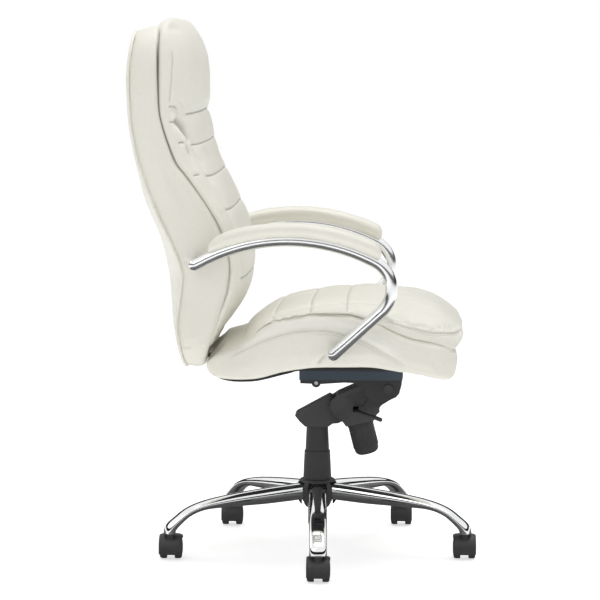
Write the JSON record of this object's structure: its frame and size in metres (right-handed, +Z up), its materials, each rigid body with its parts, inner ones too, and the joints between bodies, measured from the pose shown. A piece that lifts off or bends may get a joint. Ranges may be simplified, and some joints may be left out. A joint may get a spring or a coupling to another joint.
{
  "type": "swivel office chair",
  "caption": "High-back swivel office chair in cream leather with chrome loop arms, a knee-tilt mechanism, a gas lift and a chrome five-star base on twin-wheel castors.",
  "frame": {"origin": "on the floor, on the axis of the seat's swivel", "axes": "+X the way the sitter faces, +Y the sitter's left, +Z up"},
  "size_m": [0.7754, 0.6772, 1.185],
  "materials": {
    "chrome": "polished",
    "bright_steel": "satin",
    "plain_steel": "satin",
    "black_paint": "satin",
    "black_plastic": "matte",
    "castor_plastic": "satin",
    "white_nylon": "satin",
    "plywood": "matte",
    "black_fabric": "matte",
    "foam": "satin",
    "leather": "satin"
  },
  "bodies": {
    "base": {"base_legs": "chrome", "base_hub": "plain_steel", "hub_cover": "black_plastic", "cover_lower": "black_plastic", "column_tube": "black_paint", "column_bush": "white_nylon", "thrust_bearing": "plain_steel", "castor_sleeves": "plain_steel", "castor_stems": "bright_steel"},
    "piston": {"piston_rod": "bright_steel"},
    "lift": {"gas_cylinder": "plain_steel", "cover_upper": "black_plastic", "tilt_housing": "black_paint", "knee_bushes": "white_nylon", "torsion_springs": "plain_steel"},
    "valve": {"valve_pin": "bright_steel"},
    "knob": {"tension_knob": "black_plastic", "tension_screw": "bright_steel"},
    "traverse": {"spring_traverse": "plain_steel"},
    "lock": {"lock_slider": "plain_steel"},
    "lever": {"lever_rod": "plain_steel", "lever_grip": "black_plastic"},
    "seat": {"seat_plate": "black_paint", "plate_pins": "bright_steel", "dust_cover": "black_fabric", "seat_board": "plywood", "seat_cushion": "foam", "seat_pillow": "foam", "back_bracket": "plain_steel", "back_board": "plywood", "back_panel": "leather", "back_cushion": "foam", "back_pad": "foam", "headrest": "foam", "arm_brackets": "plain_steel", "arm_left": "chrome", "arm_right": "chrome", "arm_left_pad": "leather", "arm_right_pad": "leather", "bolts": "bright_steel"},
    "castor_1": {"castor_1_hood": "castor_plastic", "castor_1_axle": "bright_steel"},
    "castor_1_left": {"castor_1_wheel_left": "castor_plastic"},
    "castor_1_right": {"castor_1_wheel_right": "castor_plastic"},
    "castor_2": {"castor_2_hood": "castor_plastic", "castor_2_axle": "bright_steel"},
    "castor_2_left": {"castor_2_wheel_left": "castor_plastic"},
    "castor_2_right": {"castor_2_wheel_right": "castor_plastic"},
    "castor_3": {"castor_3_hood": "castor_plastic", "castor_3_axle": "bright_steel"},
    "castor_3_left": {"castor_3_wheel_left": "castor_plastic"},
    "castor_3_right": {"castor_3_wheel_right": "castor_plastic"},
    "castor_4": {"castor_4_hood": "castor_plastic", "castor_4_axle": "bright_steel"},
    "castor_4_left": {"castor_4_wheel_left": "castor_plastic"},
    "castor_4_right": {"castor_4_wheel_right": "castor_plastic"},
    "castor_5": {"castor_5_hood": "castor_plastic", "castor_5_axle": "bright_steel"},
    "castor_5_left": {"castor_5_wheel_left": "castor_plastic"},
    "castor_5_right": {"castor_5_wheel_right": "castor_plastic"}
  },
  "joints": [
    {"name": "seat_swivel", "type": "hinge", "parent": "base", "child": "piston", "pos_m": [0, 0, 0.07], "axis": [0, 0, 1], "continuous": true},
    {"name": "seat_height", "type": "slide", "parent": "piston", "child": "lift", "axis": [0, 0, 1], "range_m": [-0.045, 0.055]},
    {"name": "knee_tilt", "type": "hinge", "parent": "lift", "child": "seat", "pos_m": [0.158, 0, 0.372], "axis": [0, -1, 0], "range_deg": [0, 15], "stiffness_Nm_per_rad": 200, "springref_deg": -25.78, "deforming": ["torsion_springs"]},
    {"name": "lever_lock", "type": "slide", "parent": "lift", "child": "lock", "axis": [0, 1, 0], "range_m": [0, 0.012]},
    {"name": "lever_lift", "type": "hinge", "parent": "lock", "child": "lever", "pos_m": [0.082, -0.034, 0.323], "axis": [-1, 0, 0], "range_deg": [0, 8], "stiffness_Nm_per_rad": 4, "springref_deg": -11.46},
    {"name": "valve_press", "type": "slide", "parent": "lift", "child": "valve", "axis": [0, 0, 1], "range_m": [-0.0054, 0]},
    {"name": "knob_turn", "type": "hinge", "parent": "lift", "child": "knob", "pos_m": [0.095, 0, 0.292], "axis": [-0.2419, 0, 0.9703], "range_deg": [-720, 720]},
    {"name": "traverse_lift", "type": "slide", "parent": "lift", "child": "traverse", "axis": [-0.2419, 0, 0.9703], "range_m": [-0.0031, 0.0031]},
    {"name": "castor_1_swivel", "type": "hinge", "parent": "base", "child": "castor_1", "pos_m": [0.01187, -0.33979, 0.05], "axis": [0, 0, 1], "continuous": true},
    {"name": "castor_1_left_roll", "type": "hinge", "parent": "castor_1", "child": "castor_1_left", "pos_m": [0.01187, -0.32579, 0.025], "axis": [1, 0, 0], "continuous": true},
    {"name": "castor_1_right_roll", "type": "hinge", "parent": "castor_1", "child": "castor_1_right", "pos_m": [0.01187, -0.32579, 0.025], "axis": [1, 0, 0], "continuous": true},
    {"name": "castor_2_swivel", "type": "hinge", "parent": "base", "child": "castor_2", "pos_m": [0.32683, -0.09372, 0.05], "axis": [0, 0, 1], "continuous": true},
    {"name": "castor_2_left_roll", "type": "hinge", "parent": "castor_2", "child": "castor_2_left", "pos_m": [0.32683, -0.07972, 0.025], "axis": [1, 0, 0], "continuous": true},
    {"name": "castor_2_right_roll", "type": "hinge", "parent": "castor_2", "child": "castor_2_right", "pos_m": [0.32683, -0.07972, 0.025], "axis": [1, 0, 0], "continuous": true},
    {"name": "castor_3_swivel", "type": "hinge", "parent": "base", "child": "castor_3", "pos_m": [0.19013, 0.28187, 0.05], "axis": [0, 0, 1], "continuous": true},
    {"name": "castor_3_left_roll", "type": "hinge", "parent": "castor_3", "child": "castor_3_left", "pos_m": [0.19013, 0.29587, 0.025], "axis": [1, 0, 0], "continuous": true},
    {"name": "castor_3_right_roll", "type": "hinge", "parent": "castor_3", "child": "castor_3_right", "pos_m": [0.19013, 0.29587, 0.025], "axis": [1, 0, 0], "continuous": true},
    {"name": "castor_4_swivel", "type": "hinge", "parent": "base", "child": "castor_4", "pos_m": [-0.20933, 0.26792, 0.05], "axis": [0, 0, 1], "continuous": true},
    {"name": "castor_4_left_roll", "type": "hinge", "parent": "castor_4", "child": "castor_4_left", "pos_m": [-0.20933, 0.28192, 0.025], "axis": [1, 0, 0], "continuous": true},
    {"name": "castor_4_right_roll", "type": "hinge", "parent": "castor_4", "child": "castor_4_right", "pos_m": [-0.20933, 0.28192, 0.025], "axis": [1, 0, 0], "continuous": true},
    {"name": "castor_5_swivel", "type": "hinge", "parent": "base", "child": "castor_5", "pos_m": [-0.31949, -0.11629, 0.05], "axis": [0, 0, 1], "continuous": true},
    {"name": "castor_5_left_roll", "type": "hinge", "parent": "castor_5", "child": "castor_5_left", "pos_m": [-0.31949, -0.10229, 0.025], "axis": [1, 0, 0], "continuous": true},
    {"name": "castor_5_right_roll", "type": "hinge", "parent": "castor_5", "child": "castor_5_right", "pos_m": [-0.31949, -0.10229, 0.025], "axis": [1, 0, 0], "continuous": true}
  ],
  "couplings": [
    {"joint": "valve_press", "follows": "lever_lift", "m_per_rad": -0.0375},
    {"joint": "traverse_lift", "follows": "knob_turn", "m_per_rad": 0.00024}
  ]
}
